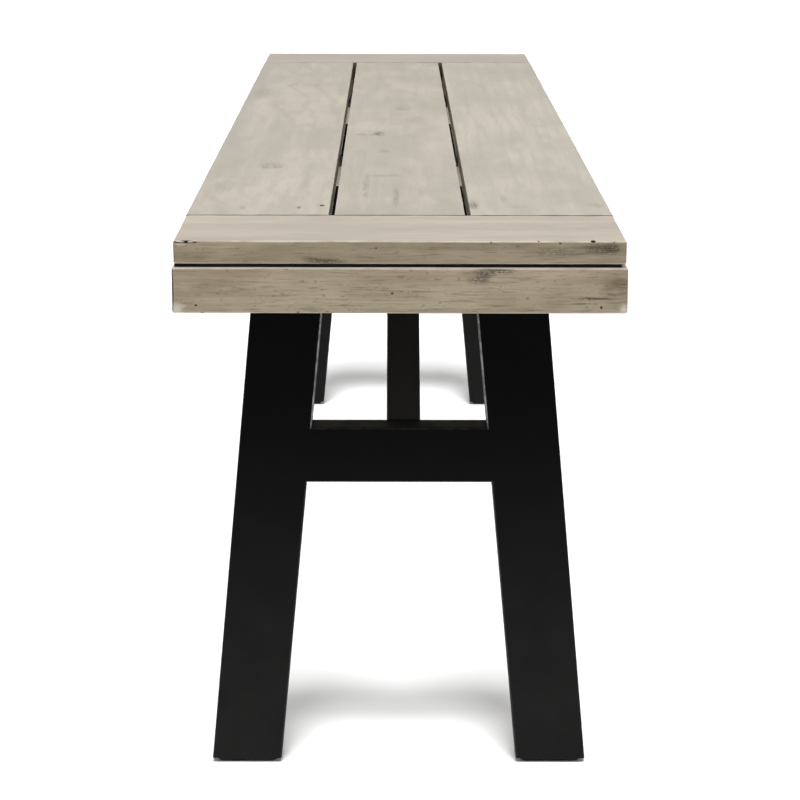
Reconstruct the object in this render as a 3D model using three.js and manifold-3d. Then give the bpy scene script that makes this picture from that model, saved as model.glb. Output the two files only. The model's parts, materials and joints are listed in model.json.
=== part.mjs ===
// Garden bench: a planked wooden seat with breadboard ends on two splayed steel leg frames.
// Millimetres, +Z up. The origin is on the floor under the middle of the bench.
// +X runs along the bench to its right end, +Y to its rear edge.

import * as THREE from 'three';
import { mergeVertices } from 'three/addons/utils/BufferGeometryUtils.js';
import Module from 'manifold-3d';

// Overall sizes
const benchLength = 1500;
const benchWidth = 350;
const benchHeight = 465;

// Seat boards
const boardThickness = 18.5;
const plankGap = 5;
const middlePlankWidth = 107;
const breadboardWidth = 122;
const seamGap = 0.5;
const tongueThickness = 6;
const tongueShoulder = 14;
const tongueDepth = 20;
const tongueClearance = 0.25;

// Apron, and the thin black strip that parts it from the boards
const apronHeight = 36;
const apronThickness = 18;
const apronOverhang = 1.5;
const stripThickness = 2.5;
const stripWidth = 12;
const stripRecess = 2;
const stripShift = -1.5;
const cornerBlockClearance = 2.5;
const cornerBlockHeight = 30;

// Battens under the boards
const battenThickness = 20;
const legCleatWidth = 120;
const crossBattenWidth = 68;
const crossBattenInset = 572;
const braceBlockWidth = 70;
const braceBlockLength = 90;
const braceBlockInset = 362;

// Leg frames of rectangular steel tube
const frameInset = 90;
const legWidth = 58.5;
const legDepth = 30;
const legCornerRadius = 2;
const tubeWall = 2;
const legLean = THREE.MathUtils.degToRad(5.4);
const footSpread = 316;
const crossbarHeight = 46.5;
const crossbarLift = 247;
const weldGap = 0.3;

// Plates that carry the frames under the seat
const plateThickness = 4;
const plateWidth = 72;
const plateMargin = 5;
const boltPitch = 50;

// Brace from each crossbar up to a block under the middle plank
const braceSize = 28;
const braceOffset = 3.5;
const bracePlateThickness = 3;
const bracePlateSize = 66;
const braceScrewPitch = 48;

// Push-in plastic feet
const padHeight = 4;
const padInset = 3.5;
const padRound = 4;
const padBevel = 3;
const plugStart = 2;
const plugLength = 16;
const plugClearance = 0.3;
const plugRound = 1;
const plugOverlap = 1;

// Fasteners
const bolt = {
  headRadius: 6.5,
  crownRadius: 4.5,
  headHeight: 3.5,
  shoulder: 1.75,
  shankRadius: 3,
  grip: 15,
};
const screw = {
  headRadius: 4.5,
  crownRadius: 3.2,
  headHeight: 2.5,
  shoulder: 1.25,
  shankRadius: 2,
  grip: 14,
};
const holeClearance = 0.3;
const roundSegments = 16;
const arcSegments = 3;

// How far a cutting shape runs past the faces it cuts
const cutOverrun = 1;

// Levels and places that follow from the sizes above
const boardBase = benchHeight - boardThickness;
const apronTop = boardBase - stripThickness;
const apronHalfLength = benchLength / 2 + apronOverhang;
const apronHalfWidth = benchWidth / 2 + apronOverhang;
const apronInnerHalfLength = apronHalfLength - apronThickness;
const apronInnerHalfWidth = apronHalfWidth - apronThickness;
const battenBase = boardBase - battenThickness;
const outerPlankWidth = (benchWidth - middlePlankWidth) / 2 - plankGap;
const outerPlankPlace = (benchWidth - outerPlankWidth) / 2;
const plankHalfLength = benchLength / 2 - breadboardWidth - seamGap;
const frameFront = benchLength / 2 - frameInset;
const frameBack = frameFront - legDepth;
const frameMiddle = (frameFront + frameBack) / 2;
const plateBase = battenBase - plateThickness;
const legHeight = plateBase - padHeight;
const leanSlope = Math.tan(legLean);
const footCentre = footSpread / 2 - legWidth / 2;
const legTopCentre = footCentre - leanSlope * legHeight;
const crossbarTop = crossbarLift + crossbarHeight;
const braceBlockMiddle = benchLength / 2 - braceBlockInset;
const bracePlateBase = battenBase - bracePlateThickness;
const legCleatEdge = frameMiddle + legCleatWidth / 2;
const cornerBlockSize = apronInnerHalfLength - legCleatEdge - cornerBlockClearance;

// The right cross batten is set in from the right end, the left one lies against its brace block
const crossBattenPlaces = {
  right: benchLength / 2 - crossBattenInset,
  left: (braceBlockWidth + crossBattenWidth) / 2 - braceBlockMiddle,
};

const ends = [
  { name: 'right', sign: 1, turn: 0 },
  { name: 'left', sign: -1, turn: Math.PI },
];
const rows = [
  { name: 'front', sign: -1 },
  { name: 'rear', sign: 1 },
];
const planks = [
  { name: 'front', place: -outerPlankPlace, width: outerPlankWidth },
  { name: 'middle', place: 0, width: middlePlankWidth },
  { name: 'rear', place: outerPlankPlace, width: outerPlankWidth },
];

const finishes = {
  seat: { color: 0xb8b1a3, roughness: 0.55, metalness: 0 },
  apron: { color: 0x9a917f, roughness: 0.6, metalness: 0 },
  batten: { color: 0x3a3028, roughness: 0.75, metalness: 0 },
  strip: { color: 0x0b0b0b, roughness: 0.9, metalness: 0 },
  steel: { color: 0x161616, roughness: 0.45, metalness: 0.2 },
  foot: { color: 0x101010, roughness: 0.7, metalness: 0 },
  fastener: { color: 0x2a2a2c, roughness: 0.4, metalness: 0.8 },
};

const bench = new THREE.Group();

function addPart(parent, name, geometry, finish) {
  const mesh = new THREE.Mesh(geometry, new THREE.MeshStandardMaterial(finishes[finish]));
  mesh.name = name;
  parent.add(mesh);
  return mesh;
}

// Boolean work: a closed geometry becomes a solid, and a solid becomes a geometry again.
const wasm = await Module();
wasm.setup();

function toSolid(geometry) {
  const bare = geometry.clone();
  bare.deleteAttribute('normal');
  bare.deleteAttribute('uv');
  const merged = mergeVertices(bare, 1e-4);
  const vertProperties = new Float32Array(merged.attributes.position.array);
  const triVerts = new Uint32Array(merged.index.array);
  return new wasm.Manifold(new wasm.Mesh({ numProp: 3, vertProperties, triVerts }));
}

function toGeometry(solid) {
  const mesh = solid.getMesh();
  const geometry = new THREE.BufferGeometry();
  geometry.setAttribute('position', new THREE.BufferAttribute(mesh.vertProperties, 3));
  geometry.setIndex(new THREE.BufferAttribute(mesh.triVerts, 1));
  return geometry;
}

function cut(geometry, cutters) {
  return toGeometry(cutters.reduce((solid, cutter) => solid.subtract(toSolid(cutter)), toSolid(geometry)));
}

function join(first, second) {
  return toGeometry(toSolid(first).add(toSolid(second)));
}

// A box between two opposite corners
function block(corner, opposite) {
  const size = opposite.map((value, i) => Math.abs(value - corner[i]));
  const middle = opposite.map((value, i) => (value + corner[i]) / 2);
  return new THREE.BoxGeometry(...size).translate(...middle);
}

// An outline of [x, z] points drawn out along Y
function prismAlongY(points, yLow, yHigh) {
  const outline = new THREE.Shape(points.map(([x, z]) => new THREE.Vector2(x, z)));
  const depth = yHigh - yLow;
  const geometry = new THREE.ExtrudeGeometry(outline, { depth, bevelEnabled: false });
  return geometry.rotateX(Math.PI / 2).translate(0, yHigh, 0);
}

// An outline of [y, z] points drawn out along X
function prismAlongX(points, xLow, xHigh) {
  const outline = new THREE.Shape(points.map(([y, z]) => new THREE.Vector2(y, z)));
  const depth = xHigh - xLow;
  const geometry = new THREE.ExtrudeGeometry(outline, { depth, bevelEnabled: false });
  const turn = new THREE.Matrix4().makeBasis(
    new THREE.Vector3(0, 1, 0),
    new THREE.Vector3(0, 0, 1),
    new THREE.Vector3(1, 0, 0),
  );
  return geometry.applyMatrix4(turn).translate(xLow, 0, 0);
}

function roundedRectangle(Outline, width, depth, radius) {
  const x = width / 2 - radius;
  const y = depth / 2 - radius;
  const outline = new Outline();
  outline.absarc(x, y, radius, 0, Math.PI / 2);
  outline.absarc(-x, y, radius, Math.PI / 2, Math.PI);
  outline.absarc(-x, -y, radius, Math.PI, 1.5 * Math.PI);
  outline.absarc(x, -y, radius, 1.5 * Math.PI, 2 * Math.PI);
  outline.closePath();
  return outline;
}

function uprightCylinder(radius, zLow, zHigh, x, y) {
  const height = zHigh - zLow;
  const geometry = new THREE.CylinderGeometry(radius, radius, height, roundSegments);
  return geometry.rotateX(Math.PI / 2).translate(x, y, zLow + height / 2);
}

// Seat: three planks between two breadboard ends, held in line by loose tongues
function tonguePocket(xFrom, xTo, plank, clearance) {
  const halfWidth = plank.width / 2 - tongueShoulder + clearance;
  const halfThickness = tongueThickness / 2 + clearance;
  const zMiddle = boardBase + boardThickness / 2;
  return block(
    [xFrom, plank.place - halfWidth, zMiddle - halfThickness],
    [xTo, plank.place + halfWidth, zMiddle + halfThickness],
  );
}

function makePlank(plank) {
  const board = block(
    [-plankHalfLength, plank.place - plank.width / 2, boardBase],
    [plankHalfLength, plank.place + plank.width / 2, benchHeight],
  );
  const reach = tongueDepth + tongueClearance;
  const pockets = ends.map(({ sign }) => {
    const mouth = sign * (plankHalfLength + seamGap);
    const back = sign * (plankHalfLength - reach);
    return tonguePocket(mouth, back, plank, tongueClearance);
  });
  addPart(bench, `seat_plank_${plank.name}`, cut(board, pockets), 'seat');
}

function makeBreadboard(end) {
  const inner = plankHalfLength + seamGap;
  const outer = benchLength / 2;
  const board = block(
    [end.sign * inner, -benchWidth / 2, boardBase],
    [end.sign * outer, benchWidth / 2, benchHeight],
  );
  const pockets = planks.map((plank) => {
    const mouth = end.sign * (inner - seamGap);
    const back = end.sign * (inner + tongueDepth + tongueClearance);
    return tonguePocket(mouth, back, plank, tongueClearance);
  });
  addPart(bench, `breadboard_${end.name}`, cut(board, pockets), 'seat');
}

function makeTongue(end, plank) {
  const near = end.sign * (plankHalfLength - tongueDepth);
  const far = end.sign * (plankHalfLength + seamGap + tongueDepth);
  const tongue = tonguePocket(near, far, plank, 0);
  addPart(bench, `loose_tongue_${end.name}_${plank.name}`, tongue, 'batten');
}

// Battens and cleats across the underside of the planks, and a block for each brace
function makeBatten(name, xMiddle, width, halfLength, pilots, finish) {
  const batten = block(
    [xMiddle - width / 2, -halfLength, battenBase],
    [xMiddle + width / 2, halfLength, boardBase],
  );
  addPart(bench, name, pilots.length ? cut(batten, pilots) : batten, finish);
}

function makeEndBattens({ name, sign }) {
  const reach = apronInnerHalfWidth;
  const boltPilots = boltPlaces({ sign }).map(([x, y]) => pilotHole(bolt, x, y));
  makeBatten(`leg_cleat_${name}`, sign * frameMiddle, legCleatWidth, reach, boltPilots, 'batten');
  makeBatten(`cross_batten_${name}`, crossBattenPlaces[name], crossBattenWidth, reach, [], 'apron');
  const screwPilots = screwPlaces({ sign }).map(([x, y]) => pilotHole(screw, x, y));
  const blockReach = braceBlockLength / 2;
  makeBatten(`brace_block_${name}`, sign * braceBlockMiddle, braceBlockWidth, blockReach, screwPilots, 'batten');
}

// Apron frame, corner blocks and the black strip on top of the apron
function makeAprons() {
  for (const end of ends) {
    const apron = block(
      [end.sign * apronInnerHalfLength, -apronHalfWidth, apronTop - apronHeight],
      [end.sign * apronHalfLength, apronHalfWidth, apronTop],
    );
    addPart(bench, `end_apron_${end.name}`, apron, 'apron');
  }
  for (const row of rows) {
    const apron = block(
      [-apronInnerHalfLength, row.sign * apronInnerHalfWidth, apronTop - apronHeight],
      [apronInnerHalfLength, row.sign * apronHalfWidth, apronTop],
    );
    addPart(bench, `side_apron_${row.name}`, apron, 'apron');
  }
}

function makeCornerBlock(end, row) {
  const outline = new THREE.Shape([
    new THREE.Vector2(0, 0),
    new THREE.Vector2(cornerBlockSize, 0),
    new THREE.Vector2(0, cornerBlockSize),
  ]);
  const geometry = new THREE.ExtrudeGeometry(outline, { depth: cornerBlockHeight, bevelEnabled: false });
  const quarterTurns = { right_rear: 2, right_front: 1, left_front: 0, left_rear: 3 };
  geometry.rotateZ(quarterTurns[`${end.name}_${row.name}`] * Math.PI / 2);
  const base = apronTop - cornerBlockHeight;
  geometry.translate(end.sign * apronInnerHalfLength, row.sign * apronInnerHalfWidth, base);
  addPart(bench, `corner_block_${end.name}_${row.name}`, geometry, 'batten');
}

function makeStrips() {
  const outerLength = benchLength / 2 - stripRecess;
  const innerLength = outerLength - stripWidth;
  const outerWidth = benchWidth / 2 - stripRecess;
  for (const end of ends) {
    const strip = block(
      [end.sign * innerLength, stripShift - outerWidth, apronTop],
      [end.sign * outerLength, stripShift + outerWidth, boardBase],
    );
    addPart(bench, `black_strip_${end.name}`, strip, 'strip');
  }
  for (const row of rows) {
    const strip = block(
      [-innerLength, stripShift + row.sign * (outerWidth - stripWidth), apronTop],
      [innerLength, stripShift + row.sign * outerWidth, boardBase],
    );
    addPart(bench, `black_strip_${row.name}`, strip, 'strip');
  }
}

// Leg frame, made once for the right end and turned half round for the left
function makeLeg(frame, name, sign) {
  const section = roundedRectangle(THREE.Shape, legDepth, legWidth, legCornerRadius);
  const hollowDepth = legDepth - 2 * tubeWall;
  const hollowWidth = legWidth - 2 * tubeWall;
  section.holes.push(roundedRectangle(THREE.Path, hollowDepth, hollowWidth, legCornerRadius / 2));
  const options = { depth: legHeight, bevelEnabled: false, curveSegments: arcSegments };
  const leg = new THREE.ExtrudeGeometry(section, options);
  leg.applyMatrix4(leanMatrix(sign));
  leg.translate(frameMiddle, sign * footCentre, padHeight);
  addPart(frame, name, leg, 'steel');
}

// Slides every level of an upright shape sideways, towards the middle of the bench
function leanMatrix(sign) {
  const slide = -sign * leanSlope;
  return new THREE.Matrix4().set(1, 0, 0, 0, 0, 1, slide, 0, 0, 0, 1, 0, 0, 0, 0, 1);
}

function legInnerFace(z) {
  return footCentre - legWidth / 2 - leanSlope * (z - padHeight);
}

function makeCrossbar(frame, name) {
  const lowHalf = legInnerFace(crossbarLift) - weldGap;
  const highHalf = legInnerFace(crossbarTop) - weldGap;
  const outline = [
    [-lowHalf, crossbarLift],
    [lowHalf, crossbarLift],
    [highHalf, crossbarTop],
    [-highHalf, crossbarTop],
  ];
  const bar = prismAlongX(outline, frameBack, frameFront);
  const hollow = block(
    [frameBack + tubeWall, -lowHalf - cutOverrun, crossbarLift + tubeWall],
    [frameFront - tubeWall, lowHalf + cutOverrun, crossbarTop - tubeWall],
  );
  addPart(frame, name, cut(bar, [hollow]), 'steel');
}

function makeMountingPlate(frame, name) {
  const halfLength = legTopCentre + legWidth / 2 + plateMargin;
  const plate = block(
    [frameMiddle - plateWidth / 2, -halfLength, plateBase],
    [frameMiddle + plateWidth / 2, halfLength, battenBase],
  );
  const radius = bolt.shankRadius + holeClearance;
  const holes = boltPlaces(ends[0]).map(
    ([x, y]) => uprightCylinder(radius, plateBase - cutOverrun, battenBase + cutOverrun, x, y),
  );
  addPart(frame, name, cut(plate, holes), 'steel');
}

// The brace's upper face starts level with the crossbar's top, and its axis meets the middle of its plate
function braceOutline(halfThickness, overrun) {
  const rise = bracePlateBase - crossbarTop;
  const run = frameBack - braceBlockMiddle;
  const angle = Math.atan2(rise, run) + Math.asin(braceSize / 2 / Math.hypot(rise, run));
  const slope = Math.tan(angle);
  const axisAtCrossbar = crossbarTop - braceSize / 2 / Math.cos(angle);
  const faceStep = halfThickness / Math.cos(angle);
  const low = frameBack + overrun;
  const high = bracePlateBase + overrun;
  const onFace = (z, side) => frameBack - (z - axisAtCrossbar - side * faceStep) / slope;
  const faceLevel = (side) => axisAtCrossbar + side * faceStep - overrun * slope;
  return [
    [low, faceLevel(-1)],
    [low, faceLevel(1)],
    [onFace(high, 1), high],
    [onFace(high, -1), high],
  ];
}

function makeBrace(frame, name) {
  const half = braceSize / 2;
  const tube = prismAlongY(braceOutline(half, 0), braceOffset - half, braceOffset + half);
  const inner = half - tubeWall;
  const hollow = prismAlongY(braceOutline(inner, cutOverrun), braceOffset - inner, braceOffset + inner);
  addPart(frame, name, cut(tube, [hollow]), 'steel');
}

function makeBracePlate(frame, name) {
  const half = bracePlateSize / 2;
  const plate = block(
    [braceBlockMiddle - half, braceOffset - half, bracePlateBase],
    [braceBlockMiddle + half, braceOffset + half, battenBase],
  );
  const radius = screw.shankRadius + holeClearance;
  const holes = screwPlaces(ends[0]).map(
    ([x, y]) => uprightCylinder(radius, bracePlateBase - cutOverrun, battenBase + cutOverrun, x, y),
  );
  addPart(frame, name, cut(plate, holes), 'steel');
}

// A foot's pad stands out below the leg, and its plug sits inside the tube and leans with it
function makeFoot(frame, name, sign) {
  const padWidth = legWidth - 2 * padInset;
  const padDepth = legDepth - 2 * padInset;
  const padOutline = roundedRectangle(THREE.Shape, padDepth, padWidth, padRound);
  const pad = new THREE.ExtrudeGeometry(padOutline, {
    depth: padHeight + plugStart + plugOverlap - padBevel,
    bevelThickness: padBevel,
    bevelSize: padBevel,
    bevelOffset: -padBevel,
    bevelSegments: arcSegments,
    curveSegments: arcSegments,
  });
  pad.translate(0, 0, padBevel);
  const inset = tubeWall + plugClearance;
  const plugOutline = roundedRectangle(THREE.Shape, legDepth - 2 * inset, legWidth - 2 * inset, plugRound);
  const plug = new THREE.ExtrudeGeometry(plugOutline, {
    depth: plugLength,
    bevelEnabled: false,
    curveSegments: arcSegments,
  });
  plug.applyMatrix4(leanMatrix(sign));
  plug.translate(0, -sign * leanSlope * plugStart, padHeight + plugStart);
  const foot = join(pad, plug);
  foot.translate(frameMiddle, sign * footCentre, 0);
  addPart(frame, name, foot, 'foot');
}

// Fasteners: domed head below a plate, plain shank up into the wood
function boltPlaces(end) {
  return [-1, 1].flatMap((side) => [-1, 1].map((step) => [
    end.sign * (frameMiddle + step * boltPitch / 2),
    side * legTopCentre,
  ]));
}

function screwPlaces(end) {
  return [-1, 1].map((side) => [
    end.sign * braceBlockMiddle,
    end.sign * braceOffset + side * braceScrewPitch / 2,
  ]);
}

function pilotHole(fastener, x, y) {
  const top = battenBase + fastener.grip + holeClearance;
  return uprightCylinder(fastener.shankRadius + holeClearance, battenBase - cutOverrun, top, x, y);
}

function makeFastener(parent, name, fastener, plate, x, y) {
  const seat = battenBase - plate;
  const profile = [
    [0, -fastener.headHeight],
    [fastener.crownRadius, -fastener.headHeight],
    [fastener.headRadius, -fastener.shoulder],
    [fastener.headRadius, 0],
    [fastener.shankRadius, 0],
    [fastener.shankRadius, plate + fastener.grip],
    [0, plate + fastener.grip],
  ];
  const points = profile.map(([radius, height]) => new THREE.Vector2(radius, height));
  const geometry = new THREE.LatheGeometry(points, roundSegments);
  geometry.rotateX(Math.PI / 2).translate(x, y, seat);
  addPart(parent, name, geometry, 'fastener');
}

planks.forEach(makePlank);
for (const end of ends) {
  makeBreadboard(end);
  planks.forEach((plank) => makeTongue(end, plank));
  makeEndBattens(end);
  rows.forEach((row) => makeCornerBlock(end, row));
}
makeAprons();
makeStrips();

for (const end of ends) {
  const frame = new THREE.Group();
  frame.rotation.z = end.turn;
  bench.add(frame);
  for (const row of rows) {
    const sign = row.sign * end.sign;
    makeLeg(frame, `leg_${end.name}_${row.name}`, sign);
    makeFoot(frame, `foot_${end.name}_${row.name}`, sign);
  }
  makeCrossbar(frame, `crossbar_${end.name}`);
  makeMountingPlate(frame, `mounting_plate_${end.name}`);
  makeBrace(frame, `brace_${end.name}`);
  makeBracePlate(frame, `brace_plate_${end.name}`);
  boltPlaces(end).forEach(([x, y], i) => {
    makeFastener(bench, `leg_bolt_${end.name}_${i + 1}`, bolt, plateThickness, x, y);
  });
  screwPlaces(end).forEach(([x, y], i) => {
    makeFastener(bench, `brace_screw_${end.name}_${i + 1}`, screw, bracePlateThickness, x, y);
  });
}

export default bench;
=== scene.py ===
# Garden bench: a planked seat with breadboard ends on two splayed frames of black steel tube.
# Metres, +Z up. +X runs along the bench to its right end, +Y to its rear edge.

import json
import math
import bmesh
import bpy
from mathutils import Matrix, Vector

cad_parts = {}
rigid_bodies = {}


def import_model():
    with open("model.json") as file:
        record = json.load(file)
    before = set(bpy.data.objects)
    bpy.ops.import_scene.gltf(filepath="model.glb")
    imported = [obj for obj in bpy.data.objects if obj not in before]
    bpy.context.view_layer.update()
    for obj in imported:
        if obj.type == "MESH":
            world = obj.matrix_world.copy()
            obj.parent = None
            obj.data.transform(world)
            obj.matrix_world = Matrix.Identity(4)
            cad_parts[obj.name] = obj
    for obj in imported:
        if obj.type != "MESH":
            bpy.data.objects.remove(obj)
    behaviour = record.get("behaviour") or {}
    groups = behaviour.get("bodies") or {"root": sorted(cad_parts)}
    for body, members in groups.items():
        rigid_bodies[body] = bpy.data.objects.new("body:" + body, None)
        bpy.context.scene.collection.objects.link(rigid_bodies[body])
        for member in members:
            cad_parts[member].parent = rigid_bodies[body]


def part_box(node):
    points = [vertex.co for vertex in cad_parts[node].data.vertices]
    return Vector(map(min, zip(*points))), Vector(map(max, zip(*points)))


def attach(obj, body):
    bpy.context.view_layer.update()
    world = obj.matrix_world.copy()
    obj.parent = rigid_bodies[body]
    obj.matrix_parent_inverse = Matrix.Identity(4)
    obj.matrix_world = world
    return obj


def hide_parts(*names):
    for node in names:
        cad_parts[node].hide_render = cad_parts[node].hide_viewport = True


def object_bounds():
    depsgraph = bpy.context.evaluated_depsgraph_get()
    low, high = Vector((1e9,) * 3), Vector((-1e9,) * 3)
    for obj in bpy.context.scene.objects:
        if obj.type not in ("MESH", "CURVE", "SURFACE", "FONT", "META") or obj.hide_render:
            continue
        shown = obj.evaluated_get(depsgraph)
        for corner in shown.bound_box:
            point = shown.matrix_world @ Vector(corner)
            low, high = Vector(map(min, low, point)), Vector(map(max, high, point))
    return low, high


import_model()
cadLow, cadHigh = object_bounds()
bpy.ops.object.select_all(action="DESELECT")

ends = {"right": 1, "left": -1}
rows = {"front": -1, "rear": 1}
plankRows = ("front", "middle", "rear")
axisNumber = {"X": 0, "Y": 1, "Z": 2}
nearly = 1e-5  # places closer than this count as the same
cutterReach = 0.002  # how far a cutter stands out past what it cuts
pilotRoom = 0.0003  # air round a fastener's shank


# Modelling helpers

def newBox(name, low, high):
    low = Vector(low)
    high = Vector(high)
    bpy.ops.mesh.primitive_cube_add(size=1, location=(low + high) / 2)
    box = bpy.context.active_object
    box.name = name
    box.scale = high - low
    bpy.ops.object.transform_apply(location=True, rotation=True, scale=True)
    return box


def newRod(name, radius, low, high, centre, sides=32):
    x, y = centre
    bpy.ops.mesh.primitive_cylinder_add(vertices=sides, radius=radius, depth=high - low,
                                        location=(x, y, (low + high) / 2))
    rod = bpy.context.active_object
    rod.name = name
    bpy.ops.object.transform_apply(location=True, rotation=True, scale=True)
    return rod


def takeUp(piece):
    bpy.ops.object.select_all(action="DESELECT")
    piece.select_set(True)
    bpy.context.view_layer.objects.active = piece


def openMesh(piece, kind):
    takeUp(piece)
    bpy.ops.object.mode_set(mode="EDIT")
    bpy.ops.mesh.select_mode(type=kind)
    bpy.ops.mesh.select_all(action="DESELECT")
    return bmesh.from_edit_mesh(piece.data)


def closeMesh():
    bpy.ops.object.mode_set(mode="OBJECT")


def pick(piece, parts, wanted):
    found = 0
    for part in parts:
        if wanted(part):
            part.select_set(True)
            found += 1
    bmesh.update_edit_mesh(piece.data)
    return found


def middleOf(edge):
    return (edge.verts[0].co + edge.verts[1].co) / 2


def runsAlong(edge, axis):
    direction = (edge.verts[1].co - edge.verts[0].co).normalized()
    return abs(direction[axisNumber[axis]]) > 0.98


def addLoops(piece, axis, cuts):
    mesh = openMesh(piece, "EDGE")
    pick(piece, mesh.edges, lambda edge: runsAlong(edge, axis))
    bpy.ops.mesh.subdivide(number_cuts=cuts)
    closeMesh()


def roundEdges(piece, wanted, radius, segments):
    mesh = openMesh(piece, "EDGE")
    if pick(piece, mesh.edges, wanted):
        bpy.ops.mesh.bevel(offset=radius, segments=segments, profile=0.5, affect="EDGES")
    closeMesh()


def dropFaces(piece, wanted):
    mesh = openMesh(piece, "FACE")
    pick(piece, mesh.faces, wanted)
    bpy.ops.mesh.delete(type="ONLY_FACE")
    closeMesh()


def cutOff(piece, point, normal, fill):
    # keeps what lies behind the plane
    openMesh(piece, "FACE")
    bpy.ops.mesh.select_all(action="SELECT")
    bpy.ops.mesh.bisect(plane_co=point, plane_no=normal, use_fill=fill, clear_outer=True)
    closeMesh()


def applyModifier(piece, kind, **settings):
    takeUp(piece)
    modifier = piece.modifiers.new(kind.title(), kind)
    for name, value in settings.items():
        setattr(modifier, name, value)
    bpy.ops.object.modifier_apply(modifier=modifier.name)


def easeEdges(piece, width, segments, angle=50):
    applyModifier(piece, "BEVEL", width=width, segments=segments, limit_method="ANGLE",
                  angle_limit=math.radians(angle))


def cutAway(piece, cutter):
    applyModifier(piece, "BOOLEAN", operation="DIFFERENCE", solver="EXACT", object=cutter)
    bpy.data.objects.remove(cutter)


def joinWith(piece, other):
    applyModifier(piece, "BOOLEAN", operation="UNION", solver="EXACT", object=other)
    bpy.data.objects.remove(other)


def copyOf(piece, name, move):
    twin = piece.copy()
    twin.data = piece.data.copy()
    twin.name = name
    bpy.context.collection.objects.link(twin)
    twin.data.transform(move)
    return twin


def finishPiece(piece, material, node, smooth=40, flats=False):
    takeUp(piece)
    bpy.ops.object.mode_set(mode="EDIT")
    bpy.ops.mesh.select_all(action="SELECT")
    bpy.ops.mesh.normals_make_consistent(inside=False)
    bpy.ops.object.mode_set(mode="OBJECT")
    bpy.ops.object.shade_smooth_by_angle(angle=math.radians(smooth))
    if flats:
        applyModifier(piece, "WEIGHTED_NORMAL", mode="FACE_AREA", keep_sharp=True)
    piece.data.materials.clear()
    piece.data.materials.append(material)
    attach(piece, "root")
    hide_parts(node)
    piece.select_set(False)
    return piece


# Material helpers

def startMaterial(name):
    material = bpy.data.materials.new(name)
    material.use_nodes = True
    tree = material.node_tree
    coordinates = tree.nodes.new("ShaderNodeTexCoord").outputs["Object"]
    return material, tree, tree.nodes["Principled BSDF"], coordinates


def give(tree, socket, value):
    if isinstance(value, bpy.types.NodeSocket):
        tree.links.new(value, socket)
    elif isinstance(value, tuple) and len(value) == 3 and socket.type == "RGBA":
        socket.default_value = (*value, 1)
    else:
        socket.default_value = value


def placed(tree, vector, shift=(0, 0, 0), turn=(0, 0, 0), scale=(1, 1, 1)):
    node = tree.nodes.new("ShaderNodeMapping")
    give(tree, node.inputs["Vector"], vector)
    node.inputs["Location"].default_value = shift
    node.inputs["Rotation"].default_value = [math.radians(angle) for angle in turn]
    node.inputs["Scale"].default_value = scale
    return node.outputs["Vector"]


def clouds(tree, vector, scale, detail, roughness):
    node = tree.nodes.new("ShaderNodeTexNoise")
    give(tree, node.inputs["Vector"], vector)
    node.inputs["Scale"].default_value = scale
    node.inputs["Detail"].default_value = detail
    node.inputs["Roughness"].default_value = roughness
    return node.outputs["Fac"]


def rescale(tree, value, low, high, toLow=0, toHigh=1):
    node = tree.nodes.new("ShaderNodeMapRange")
    node.interpolation_type = "SMOOTHSTEP"
    give(tree, node.inputs["Value"], value)
    node.inputs["From Min"].default_value = low
    node.inputs["From Max"].default_value = high
    node.inputs["To Min"].default_value = toLow
    node.inputs["To Max"].default_value = toHigh
    return node.outputs["Result"]


def reckon(tree, operation, first, second=0.0):
    node = tree.nodes.new("ShaderNodeMath")
    node.operation = operation
    give(tree, node.inputs[0], first)
    give(tree, node.inputs[1], second)
    return node.outputs["Value"]


def weighed(tree, *shares):
    total = reckon(tree, "MULTIPLY", *shares[0])
    for value, weight in shares[1:]:
        total = reckon(tree, "ADD", total, reckon(tree, "MULTIPLY", value, weight))
    return total


def tinted(tree, share, first, second, blend="MIX"):
    node = tree.nodes.new("ShaderNodeMix")
    node.data_type = "RGBA"
    node.blend_type = blend
    give(tree, node.inputs[0], share)
    give(tree, node.inputs[6], first)  # 6 and 7 are the colours A and B
    give(tree, node.inputs[7], second)
    return node.outputs[2]


def bumped(tree, height, strength, distance):
    node = tree.nodes.new("ShaderNodeBump")
    node.inputs["Strength"].default_value = strength
    node.inputs["Distance"].default_value = distance
    give(tree, node.inputs["Height"], height)
    return node.outputs["Normal"]


def spotAt(tree, coordinates, centre, reach, firm):
    # 1 inside an ellipsoid's firm middle, fading to 0 at its reach
    scale = [1 / size for size in reach]
    shift = [-middle * factor for middle, factor in zip(centre, scale)]
    node = tree.nodes.new("ShaderNodeVectorMath")
    node.operation = "LENGTH"
    give(tree, node.inputs[0], placed(tree, coordinates, shift=shift, scale=scale))
    return rescale(tree, node.outputs["Value"], 1, firm, 0, 1)


# Washed hardwood of the seat boards and aprons

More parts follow.
